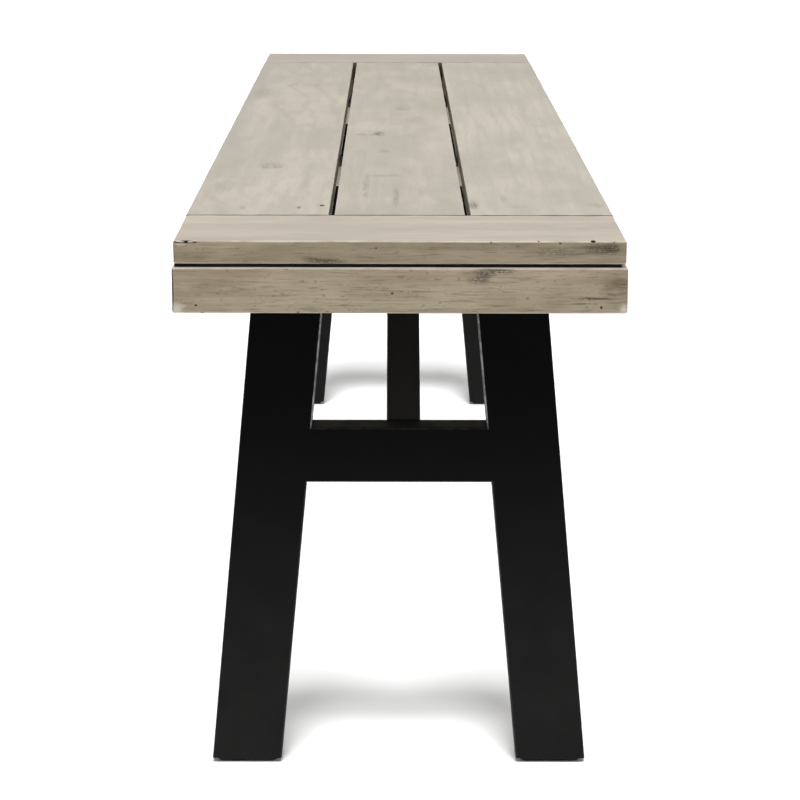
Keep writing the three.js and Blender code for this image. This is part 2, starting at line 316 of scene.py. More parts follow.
washedWood = {
    "pale": (0.342, 0.309, 0.263),
    "grey": (0.268, 0.242, 0.205),
    "ring": (0.180, 0.156, 0.124),
    "smudge": (0.110, 0.098, 0.080),
    "black": (0.004, 0.003, 0.003),
    # pale of rubbed arrises and of the painted highlight along them
    "paleRubAndHighlight": (0.50, 0.47, 0.41),
    "bare": (0.27, 0.21, 0.15),
    "bareDark": (0.15, 0.115, 0.078),
    # colours of faces that look sideways, darker partly by glaze and partly as painted shade
    "edgePale": (0.258, 0.221, 0.157),
    "edgeBrown": (0.165, 0.136, 0.091),
    "edgeLine": (0.060, 0.047, 0.032),
    "stain": (0.085, 0.061, 0.035),
    "hatch": (0.026, 0.021, 0.016),
    "seamDirt": (0.016, 0.013, 0.010),
    "fibreScale": (9, 240, 240),
    "lineScale": (42, 780, 780),
    "streakScale": (3.2, 46, 46),
    "cloudScale": (9, 17, 17),
    "patchScale": (22, 60, 60),
    "fleckScale": (180, 420, 420),
    "crackleScale": (300, 600, 600),
    "dashScale": (150, 900, 900),
    "ringSpacing": 0.011,
    "ringShare": (0.03, 0.17),
    "lineShare": 0.24,
    "edgeLineShare": 0.54,
    "edgeFleckShare": 0.45,
    "sawnShare": 0.8,
    "paleRubAndHighlightShare": (0.12, 0.65),
    "chipShare": 0.9,
    "seamWidth": 0.0024,
    "hazeWidth": 0.012,
    "farSeamShare": 0.4,
    "markFirm": 0.3,
    "pitFirm": 0.75,
    "roughness": (0.44, 0.60),
    "sheen": 0.22,
    "bump": (0.35, 0.0004),
}


def makeGrowthRings(tree, along, spacing):
    # rings round a heart that lies below the board and dips along it
    heart = placed(tree, along, shift=(0, 0.012, 0.055), turn=(0, 2.6, 1.1))
    rings = tree.nodes.new("ShaderNodeTexWave")
    rings.wave_type = "RINGS"
    rings.rings_direction = "X"
    rings.inputs["Scale"].default_value = math.pi / 10 / spacing
    rings.inputs["Distortion"].default_value = 5
    rings.inputs["Detail"].default_value = 3
    rings.inputs["Detail Scale"].default_value = 0.25
    rings.inputs["Detail Roughness"].default_value = 0.55
    give(tree, rings.inputs["Vector"], heart)
    return rescale(tree, rings.outputs["Fac"], 0.62, 1)


def makeCrackle(tree, along, scale):
    # a net of fine cracks
    cells = tree.nodes.new("ShaderNodeTexVoronoi")
    cells.feature = "DISTANCE_TO_EDGE"
    give(tree, cells.inputs["Vector"], placed(tree, along, scale=scale))
    cells.inputs["Scale"].default_value = 1
    return rescale(tree, cells.outputs["Distance"], 0.20, 0.04)


def makeWashedWood(name, grain, shift, tint, marks=(), seam=None, sideWash=0.0, top=None):
    look = washedWood
    material, tree, shader, coordinates = startMaterial(name)
    along = placed(tree, coordinates, shift=shift, turn=(0, 0, 0 if grain == "X" else 90))
    fibre = clouds(tree, placed(tree, along, scale=look["fibreScale"]), 1, 6, 0.62)
    line = clouds(tree, placed(tree, along, scale=look["lineScale"]), 1, 3, 0.6)
    streak = clouds(tree, placed(tree, along, scale=look["streakScale"]), 1, 3, 0.5)
    cloud = clouds(tree, placed(tree, along, scale=look["cloudScale"]), 1, 4, 0.6)
    patch = clouds(tree, placed(tree, along, scale=look["patchScale"]), 1, 4, 0.62)
    fleck = clouds(tree, placed(tree, along, scale=look["fleckScale"]), 1, 2, 0.6)
    ring = makeGrowthRings(tree, along, look["ringSpacing"])

    tone = weighed(tree, (fibre, 0.22), (streak, 0.24), (cloud, 0.36), (patch, 0.18))
    tone = rescale(tree, tone, 0.40, 0.61)
    colour = tinted(tree, tone, look["grey"], look["pale"])
    ringShare = reckon(tree, "MULTIPLY", ring, rescale(tree, cloud, 0.42, 0.66, *look["ringShare"]))
    colour = tinted(tree, ringShare, colour, look["ring"])
    lineShare = rescale(tree, line, 0.54, 0.72, 0, look["lineShare"])
    colour = tinted(tree, lineShare, colour, look["ring"])

    # faces that look sideways are darker, partly a glaze in their grain and partly painted shade, and
    # the underside is bare
    facing = tree.nodes.new("ShaderNodeSeparateXYZ")
    geometry = tree.nodes.new("ShaderNodeNewGeometry")
    tree.links.new(geometry.outputs["Normal"], facing.inputs[0])
    upward = rescale(tree, facing.outputs["Z"], 0.30, 0.90)
    glazeAndShade = weighed(tree, (cloud, 0.32), (patch, 0.22), (streak, 0.16), (fibre, 0.30))
    edgeColour = tinted(tree, rescale(tree, glazeAndShade, 0.38, 0.64), look["edgePale"], look["edgeBrown"])
    edgeLines = rescale(tree, line, 0.52, 0.72, 0, look["edgeLineShare"])
    edgeColour = tinted(tree, edgeLines, edgeColour, look["edgeLine"])
    edgeFlecks = rescale(tree, fleck, 0.60, 0.74, 0, look["edgeFleckShare"])
    edgeColour = tinted(tree, edgeFlecks, edgeColour, look["edgeLine"])
    edgeColour = tinted(tree, sideWash, edgeColour, colour)
    colour = tinted(tree, upward, edgeColour, top or colour)
    colour = tinted(tree, 1.0, colour, tint, "MULTIPLY")
    downward = rescale(tree, facing.outputs["Z"], -0.6, -0.9)
    sawn = weighed(tree, (fibre, 0.55), (streak, 0.45))
    sawn = rescale(tree, sawn, 0.38, 0.62, 0, look["sawnShare"])
    colour = tinted(tree, downward, colour, tinted(tree, sawn, look["bare"], look["bareDark"]))

    # the arrises are painted pale, partly rubbed wear and partly a painted highlight on their rounds,
    # here and there down to a dark chip
    tilted = reckon(tree, "MULTIPLY", rescale(tree, facing.outputs["Z"], 0.10, 0.40),
                    rescale(tree, facing.outputs["Z"], 0.97, 0.85))
    lowerRim = reckon(tree, "MULTIPLY", rescale(tree, facing.outputs["Z"], -0.15, -0.45, 0, 0.6),
                      rescale(tree, facing.outputs["Z"], -0.97, -0.85))
    tilted = reckon(tree, "MAXIMUM", tilted, lowerRim)
    paleRubAndHighlightShare = reckon(tree, "MULTIPLY", tilted, rescale(tree, patch, 0.36, 0.62, *look["paleRubAndHighlightShare"]))
    colour = tinted(tree, paleRubAndHighlightShare, colour, look["paleRubAndHighlight"])
    arris = tree.nodes.new("ShaderNodeAttribute")
    arris.attribute_name = "arris"
    chip = reckon(tree, "MULTIPLY", arris.outputs["Fac"],
                  rescale(tree, fleck, 0.70, 0.75, 0, look["chipShare"]))
    colour = tinted(tree, chip, colour, look["black"])

    depth = weighed(tree, (fibre, 0.5), (line, 0.3), (chip, -0.8))
    rough = rescale(tree, tone, 0, 1, *look["roughness"])
    if seam is not None:
        # dirt that gathers along the joint between planks and breadboard
        lengthwise = tree.nodes.new("ShaderNodeSeparateXYZ")
        tree.links.new(coordinates, lengthwise.inputs[0])
        fromMiddle = reckon(tree, "ABSOLUTE", lengthwise.outputs["X"])
        reach = reckon(tree, "ABSOLUTE", reckon(tree, "SUBTRACT", fromMiddle, seam))
        gathered = clouds(tree, placed(tree, coordinates, scale=(8, 34, 8)), 1, 3, 0.6)
        dirt = reckon(tree, "MULTIPLY", rescale(tree, reach, look["seamWidth"], 0.001),
                      rescale(tree, gathered, 0.34, 0.56, 0.75, 1))
        dirt = reckon(tree, "MULTIPLY", dirt,
                      rescale(tree, lengthwise.outputs["X"], -0.3, 0.3, look["farSeamShare"], 1))
        haze = reckon(tree, "MULTIPLY", rescale(tree, reach, look["hazeWidth"], 0.001, 0, 0.30),
                      rescale(tree, gathered, 0.48, 0.66))
        colour = tinted(tree, haze, colour, look["smudge"])
        colour = tinted(tree, dirt, colour, look["seamDirt"])

    # the single marks, each at its own place on the board
    crackle = makeCrackle(tree, along, look["crackleScale"])
    dashes = clouds(tree, placed(tree, along, scale=look["dashScale"]), 1, 2, 0.5)
    dashes = rescale(tree, dashes, 0.44, 0.50)
    inks = {"smudge": look["smudge"], "rub": look["paleRubAndHighlight"], "hatch": look["hatch"],
            "stain": look["stain"], "pit": look["black"], "dash": look["black"]}
    matt = 0.0
    for centre, reach, kind, strength in marks:
        firm = look["pitFirm"] if kind == "pit" else look["markFirm"]
        share = spotAt(tree, coordinates, centre, reach, firm)
        if kind == "hatch":
            broken = rescale(tree, line, 0.42, 0.58, 0.15, 1)
            share = reckon(tree, "MULTIPLY", share, reckon(tree, "MAXIMUM", crackle, broken))
        elif kind == "dash":
            share = reckon(tree, "MULTIPLY", rescale(tree, share, 0.05, 0.4), dashes)
        elif kind in ("smudge", "stain", "rub"):
            share = reckon(tree, "MULTIPLY", share, rescale(tree, patch, 0.34, 0.62, 0.3, 1))
            share = reckon(tree, "MULTIPLY", share, rescale(tree, line, 0.36, 0.62, 0.5, 1))
        share = reckon(tree, "MULTIPLY", share, strength)
        matt = reckon(tree, "MAXIMUM", matt, share)
        colour = tinted(tree, share, colour, inks[kind])
        depth = reckon(tree, "SUBTRACT", depth, reckon(tree, "MULTIPLY", share, 0.5))

    give(tree, shader.inputs["Base Color"], colour)
    give(tree, shader.inputs["Roughness"], reckon(tree, "MAXIMUM", rough, matt))
    shader.inputs["Specular IOR Level"].default_value = look["sheen"]
    give(tree, shader.inputs["Normal"], bumped(tree, depth, *look["bump"]))
    return material


# Seat planks, breadboards and aprons

boards = {
    "gridStep": 0.0055,
    "endGridStep": 0.0035,
    "alongGrain": 2.2,
    "longRadius": 0.0007,
    "outerRadius": 0.0017,
    "seamRadius": 0.0003,
    "wander": 0.0004,
    "apronWander": 1.4,
    "wanderScale": 0.16,
    "wear": 0.0006,
    "wearScale": 0.009,
    "wearBias": 0.58,
    "arrisReach": 0.0012,
    "mortiseRoom": (0.0005, 0.0003, 0.0003),
}


def softNoise(name, scale):
    texture = bpy.data.textures.new(name, "CLOUDS")
    texture.noise_scale = scale
    texture.noise_depth = 2
    return texture


wanderNoise = softNoise("boardWander", boards["wanderScale"])
wearNoise = softNoise("arrisWear", boards["wearScale"])


def splitUp(piece, axis, length, step):
    # one pass makes at most 100 cuts, so a long side is first cut in ten
    parts = max(2, round(length / step))
    firstParts = 10
    mostParts = 60
    if parts > mostParts:
        addLoops(piece, axis, firstParts - 1)
        parts = round(parts / firstParts)
    addLoops(piece, axis, max(1, parts - 1))


def markArrises(piece, low, high):
    # 1 on the board's edges, fading inwards: a point is as near to an edge as to its second nearest face
    nearness = []
    for vertex in piece.data.vertices:
        inward = sorted(min(vertex.co[i] - low[i], high[i] - vertex.co[i]) for i in range(3))
        nearness.append(math.exp(-max(0, inward[1]) / boards["arrisReach"]))
    group = piece.vertex_groups.new(name="arrisWear")
    for number, value in enumerate(nearness):
        group.add([number], value, "REPLACE")
    piece.data.attributes.new("arris", "FLOAT", "POINT").data.foreach_set("value", nearness)


def shapeBoard(name, grain, longRadius, endRadius, step=boards["gridStep"], wander=1.0):
    low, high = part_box(name)
    board = newBox(name + "_board", low, high)
    alongAxis = axisNumber[grain]
    roundEdges(board, lambda edge: runsAlong(edge, grain) and longRadius(middleOf(edge)) == 0,
               boards["seamRadius"], 2)
    for radius in sorted({longRadius(Vector((x, y, 0))) for x in (low[0], high[0])
                          for y in (low[1], high[1])} - {0}):
        roundEdges(board, lambda edge: runsAlong(edge, grain)
                   and longRadius(middleOf(edge)) == radius, radius, 3)
    tips = (low[alongAxis], high[alongAxis])
    roundEdges(board, lambda edge: not runsAlong(edge, grain)
               and min(abs(middleOf(edge)[alongAxis] - tip) for tip in tips) < nearly, endRadius, 3)
    size = high - low
    for axis, number in axisNumber.items():
        splitUp(board, axis, size[number], step * (boards["alongGrain"] if axis == grain else 1))
    markArrises(board, low, high)
    applyModifier(board, "DISPLACE", texture=wanderNoise, texture_coords="LOCAL", mid_level=0.5,
                  strength=boards["wander"] * wander)
    applyModifier(board, "DISPLACE", texture=wearNoise, texture_coords="LOCAL",
                  mid_level=boards["wearBias"], strength=boards["wear"], vertex_group="arrisWear")
    return board


def cutMortises(board, name):
    # a slot for each loose tongue that reaches into the board
    low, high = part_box(name)
    for end in ends:
        for row in plankRows:
            tongueLow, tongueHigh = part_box(f"loose_tongue_{end}_{row}")
            meets = all(tongueLow[i] < high[i] and tongueHigh[i] > low[i] for i in range(3))
            if meets:
                room = Vector(boards["mortiseRoom"])
                cutAway(board, newBox("mortise", tongueLow - room, tongueHigh + room))


seatMarks = {
    "front": [
        ((0.341, -0.119, 0.465), (0.030, 0.016, 0.02), "smudge", 0.45),
        ((0.355, -0.124, 0.465), (0.007, 0.005, 0.02), "smudge", 0.80),
        ((0.350, -0.113, 0.465), (0.006, 0.005, 0.02), "smudge", 0.75),
        ((0.577, -0.065, 0.465), (0.005, 0.0026, 0.02), "pit", 0.80),
        ((0.588, -0.084, 0.465), (0.011, 0.003, 0.02), "smudge", 0.85),
        ((0.588, -0.131, 0.465), (0.014, 0.004, 0.02), "smudge", 0.65),
        ((0.470, -0.155, 0.465), (0.060, 0.012, 0.02), "smudge", 0.34),
        ((-0.268, -0.160, 0.465), (0.060, 0.014, 0.02), "smudge", 0.34),
        ((-0.347, -0.113, 0.465), (0.050, 0.030, 0.02), "smudge", 0.24),
    ],
    "middle": [
        ((0.105, -0.020, 0.465), (0.026, 0.008, 0.02), "smudge", 0.95),
        ((0.112, -0.034, 0.465), (0.018, 0.014, 0.02), "smudge", 0.55),
        ((0.240, -0.014, 0.465), (0.020, 0.008, 0.02), "smudge", 0.40),
        ((0.470, -0.029, 0.465), (0.110, 0.004, 0.02), "smudge", 0.50),
        ((0.530, -0.003, 0.465), (0.075, 0.004, 0.02), "smudge", 0.55),
        ((0.404, -0.013, 0.465), (0.010, 0.020, 0.02), "smudge", 0.40),
        ((-0.117, 0.007, 0.465), (0.040, 0.014, 0.02), "smudge", 0.40),
    ],
    "rear": [
        ((0.572, 0.062, 0.465), (0.034, 0.006, 0.02), "smudge", 0.90),
        ((0.582, 0.100, 0.465), (0.012, 0.010, 0.02), "smudge", 0.50),
        ((0.545, 0.089, 0.465), (0.030, 0.004, 0.02), "smudge", 0.30),
        ((0.300, 0.070, 0.465), (0.090, 0.020, 0.02), "smudge", 0.22),
        ((0.575, 0.165, 0.465), (0.020, 0.010, 0.02), "smudge", 0.34),
    ],
}
endMarks = {
    "breadboard": [
        ((0.7500, 0.1488, 0.4648), (0.004, 0.0023, 0.0014), "pit", 1.0),
        ((0.7505, 0.1068, 0.4645), (0.004, 0.0009, 0.0007), "pit", 0.8),
        ((0.7505, 0.1235, 0.4630), (0.004, 0.0014, 0.0007), "pit", 0.85),
        ((0.7505, 0.0702, 0.4638), (0.004, 0.0009, 0.0007), "pit", 0.7),
        ((0.7505, 0.1650, 0.4638), (0.004, 0.0009, 0.0007), "pit", 0.6),
        ((0.7505, -0.0185, 0.4592), (0.004, 0.0010, 0.0008), "pit", 0.7),
        ((0.7505, -0.1655, 0.4638), (0.004, 0.0120, 0.0015), "dash", 1.0),
        ((0.7505, -0.1690, 0.4620), (0.004, 0.0060, 0.0012), "rub", 0.9),
        ((0.7505, -0.0560, 0.4492), (0.003, 0.0200, 0.0034), "hatch", 0.75),
        ((0.7505, -0.0680, 0.4500), (0.003, 0.0100, 0.0026), "hatch", 0.60),
        ((0.7505, 0.1550, 0.4585), (0.003, 0.0200, 0.0060), "hatch", 0.75),
        ((0.7505, 0.1640, 0.4590), (0.003, 0.0080, 0.0060), "hatch", 0.60),
        ((0.7505, 0.1200, 0.4560), (0.003, 0.0300, 0.0060), "hatch", 0.50),
        ((0.7505, 0.1500, 0.4580), (0.003, 0.0400, 0.0080), "stain", 0.42),
        ((0.7505, 0.0900, 0.4600), (0.003, 0.0500, 0.0040), "stain", 0.40),
        ((0.7505, 0.0250, 0.4600), (0.003, 0.0300, 0.0050), "stain", 0.30),
        ((0.7505, -0.1600, 0.4530), (0.003, 0.0250, 0.0060), "stain", 0.60),
        ((0.7505, -0.1250, 0.4500), (0.003, 0.0300, 0.0026), "stain", 0.55),
        # the next two are no pits but dark lines painted down the rounded vertical corners as shade
        ((0.7490, -0.1754, 0.4550), (0.004, 0.0016, 0.0120), "pit", 0.55),
        ((0.7490, 0.1754, 0.4550), (0.004, 0.0014, 0.0120), "pit", 0.3),
    ],
    "apron": [
        ((0.752, 0.0660, 0.4405), (0.003, 0.0140, 0.0050), "hatch", 0.75),
        ((0.752, 0.0610, 0.4345), (0.003, 0.0130, 0.0050), "hatch", 0.65),
        ((0.752, 0.0780, 0.4415), (0.003, 0.0160, 0.0026), "hatch", 0.75),
        ((0.752, 0.0660, 0.4380), (0.003, 0.0280, 0.0070), "stain", 0.40),
        ((0.752, 0.1680, 0.4280), (0.003, 0.0180, 0.0200), "stain", 0.70),
        ((0.752, 0.1500, 0.4200), (0.003, 0.0260, 0.0014), "hatch", 0.80),
        ((0.752, 0.1440, 0.4160), (0.003, 0.0160, 0.0010), "hatch", 0.70),
        ((0.752, 0.1745, 0.4120), (0.003, 0.0060, 0.0060), "rub", 0.85),
        ((0.752, -0.1310, 0.4300), (0.003, 0.0180, 0.0070), "stain", 0.60),
        ((0.752, -0.1200, 0.4360), (0.003, 0.0160, 0.0050), "stain", 0.45),
        ((0.752, -0.1520, 0.4290), (0.003, 0.0160, 0.0070), "stain", 0.45),
        ((0.752, -0.1740, 0.4120), (0.003, 0.0110, 0.0060), "rub", 0.85),
        ((0.752, -0.1580, 0.4145), (0.003, 0.0015, 0.0008), "pit", 0.85),
        ((0.752, -0.0060, 0.4240), (0.003, 0.0013, 0.0009), "pit", 0.85),
        ((0.752, 0.1560, 0.4130), (0.003, 0.0012, 0.0013), "pit", 0.90),
        ((0.752, -0.0790, 0.4090), (0.003, 0.0011, 0.0008), "pit", 0.80),
        ((0.752, -0.1530, 0.4085), (0.003, 0.0014, 0.0008), "pit", 0.85),
        ((0.752, 0.0100, 0.4255), (0.003, 0.0300, 0.0012), "hatch", 0.55),
        # the next two are no pits but dark lines painted down the rounded vertical corners as shade
        ((0.7500, -0.1768, 0.4260), (0.004, 0.0021, 0.0260), "pit", 0.85),
        ((0.7500, 0.1768, 0.4240), (0.004, 0.0018, 0.0240), "pit", 0.40),
    ],
}


seatWash = {
    "tints": {"front": (1.03, 1.03, 1.02), "middle": (1.02, 1.02, 1.0), "rear": (1.07, 1.08, 1.07)},
    "shifts": {"front": (0.0, 0.31, 0.02), "middle": (1.7, -0.008, 0.0), "rear": (3.9, 0.47, -0.03)},
    "sideWash": 0.4,
    "breadboardTint": (1.03, 1.01, 0.985),
    "breadboardShift": (2.2, 0.4, 0.05),
    "apronTint": (1.16, 1.15, 1.15),
    "endApronShift": (5.3, 1.1, 0.09),
    "sideApronShift": (7.1, 2.3, 0.13),
}


def ownGrain(kind, sign):
    # opposite boards take their grain from opposite parts of the pattern
    along, across, deep = seatWash[kind + "Shift"]
    return sign * along, across, deep


def makeSeat():
    seam = (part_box("seat_plank_middle")[1][0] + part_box("breadboard_right")[0][0]) / 2
    for row in plankRows:
        node = f"seat_plank_{row}"
        plank = shapeBoard(node, "X", lambda middle: boards["longRadius"], boards["seamRadius"])
        cutMortises(plank, node)
        wash = makeWashedWood(f"plankWash{row.title()}", "X", seatWash["shifts"][row],
                              seatWash["tints"][row], seatMarks[row], seam, seatWash["sideWash"])
        finishPiece(plank, wash, node, flats=True)
    for end, sign in ends.items():
        node = f"breadboard_{end}"
        outer = sign * cadHigh[0]
        board = shapeBoard(
            node, "Y", lambda middle: boards["outerRadius"] if abs(middle[0] - outer) < 0.02 else 0,
            boards["outerRadius"], step=boards["endGridStep"])
        cutMortises(board, node)
        marks = endMarks["breadboard"] if end == "right" else ()
        wash = makeWashedWood(f"breadboardWash{end.title()}", "Y", ownGrain("breadboard", sign),
                              seatWash["breadboardTint"], marks, seam)
        finishPiece(board, wash, node, flats=True)
    print("seat boards done")


def makeAprons():
    for end, sign in ends.items():
        node = f"end_apron_{end}"
        board = shapeBoard(node, "Y", lambda middle: boards["outerRadius"], boards["outerRadius"],
                           step=boards["endGridStep"], wander=boards["apronWander"])
        marks = endMarks["apron"] if end == "right" else ()
        wash = makeWashedWood(f"apronWash{end.title()}", "Y", ownGrain("endApron", sign),
                              seatWash["apronTint"], marks)
        finishPiece(board, wash, node, flats=True)
    for row, sign in rows.items():
        node = f"side_apron_{row}"
        board = shapeBoard(node, "X", lambda middle: boards["outerRadius"], boards["seamRadius"],
                           wander=boards["apronWander"])
        wash = makeWashedWood(f"apronWash{row.title()}", "X", ownGrain("sideApron", sign),
                              seatWash["apronTint"])
        finishPiece(board, wash, node, flats=True)
    print("aprons done")


# Holes for the bolts and screws

fasteners = {
    "leg_bolt": {"count": 4, "headRadius": 0.0065, "headHeight": 0.0035, "dome": 0.0022,
                 "shankRadius": 0.003, "socket": 0.0023, "socketDepth": 0.002},
    "brace_screw": {"count": 2, "headRadius": 0.0045, "headHeight": 0.0025, "dome": 0.0012,
                    "shankRadius": 0.002, "socket": 0.0021, "socketDepth": 0.0013},
}


def drillHoles(piece, fastener, end, bottom, top=None):
    # one for each shank, up to the given top or else just past the shank's tip
    radius = fasteners[fastener]["shankRadius"] + pilotRoom
    for number in range(1, fasteners[fastener]["count"] + 1):
        low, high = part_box(f"{fastener}_{end}_{number}")
        middle = (low + high) / 2
        cutAway(piece, newRod("drill", radius, bottom, top or high[2] + pilotRoom, middle[:2]))


# Battens, cleats, corner blocks and tongues under the seat

darkStain = {
    "light": (0.105, 0.070, 0.045),
    "dark": (0.040, 0.026, 0.018),
    "fibreScale": (11, 260, 260),
    "cloudScale": (5, 22, 22),
    "roughness": (0.55, 0.8),
    "sheen": 0.3,
    "bump": (0.5, 0.0006),
}


def makeDarkStain(name, grain):
    look = darkStain
    material, tree, shader, coordinates = startMaterial(name)
    along = placed(tree, coordinates, turn=(0, 0, 0 if grain == "X" else 90))
    fibre = clouds(tree, placed(tree, along, scale=look["fibreScale"]), 1, 6, 0.6)
    cloud = clouds(tree, placed(tree, along, scale=look["cloudScale"]), 1, 3, 0.5)
    tone = rescale(tree, weighed(tree, (fibre, 0.6), (cloud, 0.4)), 0.35, 0.65)
    give(tree, shader.inputs["Base Color"], tinted(tree, tone, look["dark"], look["light"]))
    give(tree, shader.inputs["Roughness"], rescale(tree, tone, 0, 1, *look["roughness"]))
    shader.inputs["Specular IOR Level"].default_value = look["sheen"]
    give(tree, shader.inputs["Normal"], bumped(tree, fibre, *look["bump"]))
    return material


hiddenWood = {
    "ease": 0.0015,
    "tongueEase": 0.0006,
    "gridStep": 0.012,
    "battenShift": (9.4, 3.1, 0.21),
    # the battens' wash is made brighter as painted light on their faces, and their tops are painted near
    # black as the shade under the planks
    "battenPaintedLightTint": (1.9, 1.9, 2.0),
    "battenPaintedShadeTop": (0.006, 0.006, 0.006),
    "battenSideWash": 0.5,
}


def makeHiddenWood():
    stainAcross = makeDarkStain("battenStain", "Y")
    stainAlong = makeDarkStain("tongueStain", "X")
    # the cross battens take the seat's wash with painted light on their faces and painted shade on their
    # tops
    battenPaintedLightAndShadeWash = makeWashedWood("battenWashPaintedLightAndShade", "Y", hiddenWood["battenShift"], hiddenWood["battenPaintedLightTint"],
                                sideWash=hiddenWood["battenSideWash"], top=hiddenWood["battenPaintedShadeTop"])
    battens = {"leg_cleat": "leg_bolt", "brace_block": "brace_screw", "cross_batten": None}
    for end, sign in ends.items():
        for kind, fastener in battens.items():
            node = f"{kind}_{end}"
            low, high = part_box(node)
            batten = newBox(node + "_batten", low, high)
            easeEdges(batten, hiddenWood["ease"], 3)
            splitUp(batten, "Y", high[1] - low[1], hiddenWood["gridStep"])
            splitUp(batten, "X", high[0] - low[0], hiddenWood["gridStep"])
            applyModifier(batten, "DISPLACE", texture=wanderNoise, texture_coords="LOCAL",
                          mid_level=0.5, strength=boards["wander"])
            if fastener:
                drillHoles(batten, fastener, end, low[2] - cutterReach)
                finishPiece(batten, stainAcross, node)
            else:
                finishPiece(batten, battenPaintedLightAndShadeWash, node)
        for row in plankRows:
            node = f"loose_tongue_{end}_{row}"
            tongue = newBox(node + "_tongue", *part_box(node))
            easeEdges(tongue, hiddenWood["tongueEase"], 2)
            finishPiece(tongue, stainAlong, node)
        for row, side in rows.items():
            node = f"corner_block_{end}_{row}"
            low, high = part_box(node)
            corner = newBox(node + "_block", low, high)
            cutOff(corner, (low + high) / 2, (-sign, -side, 0), True)
            easeEdges(corner, hiddenWood["ease"], 3, 30)
            finishPiece(corner, stainAcross, node)
    print("hidden wood done")


# Black strip that parts the apron from the boards, its near-black colour painted shade standing in for
# the dark of the gap

gapShadeStrip = {
    "colour": (0.006, 0.006, 0.006),
    "paler": (0.012, 0.012, 0.011),
    "roughness": 0.85,
    "ease": 0.0003,
}


def makeStrips():
    material, tree, shader, coordinates = startMaterial("gapShadeStrip")
    shade = clouds(tree, coordinates, 60, 3, 0.5)
    give(tree, shader.inputs["Base Color"],
         tinted(tree, rescale(tree, shade, 0.4, 0.7), gapShadeStrip["colour"], gapShadeStrip["paler"]))
    shader.inputs["Roughness"].default_value = gapShadeStrip["roughness"]
    shader.inputs["Specular IOR Level"].default_value = 0.1
    for name in (*ends, *rows):
        node = f"black_strip_{name}"
        strip = newBox(node + "_strip", *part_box(node))
        easeEdges(strip, gapShadeStrip["ease"], 2)
        finishPiece(strip, material, node)
    print("black strips done")


# Powder-coated steel frames

frameSteel = {
    "black": (0.0009, 0.0009, 0.0010),
    # paler black of the painted floor reflection low on the tubes
    "paler": (0.0125, 0.0125, 0.0122),
    "settled": {"Y": (0.032, 0.032, 0.031), "Z": (0.011, 0.011, 0.011)},
    # pale of the corners, partly worn coat and partly painted highlight
    "wearAndHighlight": {"Y": (0.28, 0.28, 0.275), "Z": (0.020, 0.020, 0.020)},
    "wearAndHighlightAbove": (0.285, 0.305),
    "floorReflectionTop": 0.36,
    "roughness": (0.41, 0.53),
    "shine": 0.03,
    "orangePeel": (0.12, 0.0002),
    "legWidth": 0.0585,
    "cornerRadius": 0.002,
    "wall": 0.002,
    "flush": 0.00008,
    "weldReach": 0.0003,
    "mouthEase": 0.0003,
    "braceSize": 0.028,
    "plateRound": 0.006,
    "plateEase": 0.0005,
}


def makePowderCoat(name, across):
    material, tree, shader, coordinates = startMaterial(name)
    height = tree.nodes.new("ShaderNodeSeparateXYZ")
    tree.links.new(coordinates, height.inputs[0])
    cloud = clouds(tree, coordinates, 26, 4, 0.55)
    # paler towards the floor: a painted reflection of the pale floor on the lower tubes
    level = rescale(tree, height.outputs["Z"], frameSteel["floorReflectionTop"], 0.0, 0, 1)
    floorReflection = reckon(tree, "MULTIPLY", level, rescale(tree, cloud, 0.25, 0.7, 0.75, 1))
    facing = tree.nodes.new("ShaderNodeSeparateXYZ")
    geometry = tree.nodes.new("ShaderNodeNewGeometry")
    tree.links.new(geometry.outputs["Normal"], facing.inputs[0])
    colour = tinted(tree, floorReflection, frameSteel["black"], frameSteel["paler"])
    settled = rescale(tree, facing.outputs["Z"], 0.5, 0.9, 0, 0.8)
    colour = tinted(tree, settled, colour, frameSteel["settled"][across])
    # the rounded corners are painted pale, partly a coat worn thin and partly a painted highlight:
    # all of a crossbar's, and elsewhere the ones that face the bench's middle line, mostly high up
    turn = reckon(tree, "ABSOLUTE", facing.outputs[across])
    corner = reckon(tree, "MULTIPLY", rescale(tree, turn, 0.25, 0.5), rescale(tree, turn, 0.98, 0.88))
    if across == "Y":
        inward = reckon(tree, "MULTIPLY", height.outputs["Y"], facing.outputs["Y"])
        corner = reckon(tree, "MULTIPLY", corner, rescale(tree, inward, 0, -0.01))
        wearAndHighlight = rescale(tree, height.outputs["Z"], *frameSteel["wearAndHighlightAbove"], 0.06, 1)
        corner = reckon(tree, "MULTIPLY", corner, wearAndHighlight)
    broken = rescale(tree, clouds(tree, coordinates, 160, 2, 0.6), 0.40, 0.62, 0.45, 1)
    colour = tinted(tree, reckon(tree, "MULTIPLY", corner, broken), colour, frameSteel["wearAndHighlight"][across])
    give(tree, shader.inputs["Base Color"], colour)
    give(tree, shader.inputs["Roughness"], rescale(tree, cloud, 0.3, 0.7, *frameSteel["roughness"]))
    shader.inputs["Specular IOR Level"].default_value = frameSteel["shine"]
    orangePeel = clouds(tree, coordinates, 900, 2, 0.5)
    give(tree, shader.inputs["Normal"], bumped(tree, orangePeel, *frameSteel["orangePeel"]))
    return material


def legStance(low, high):
    # where a leg's foot begins and ends in Y, and how far the leg shifts in Y per metre of height
    width = frameSteel["legWidth"]
    slope = (high[1] - low[1] - width) / (high[2] - low[2])
    if low[1] > 0:
        return high[1] - width, high[1], -slope
    return low[1], low[1] + width, slope


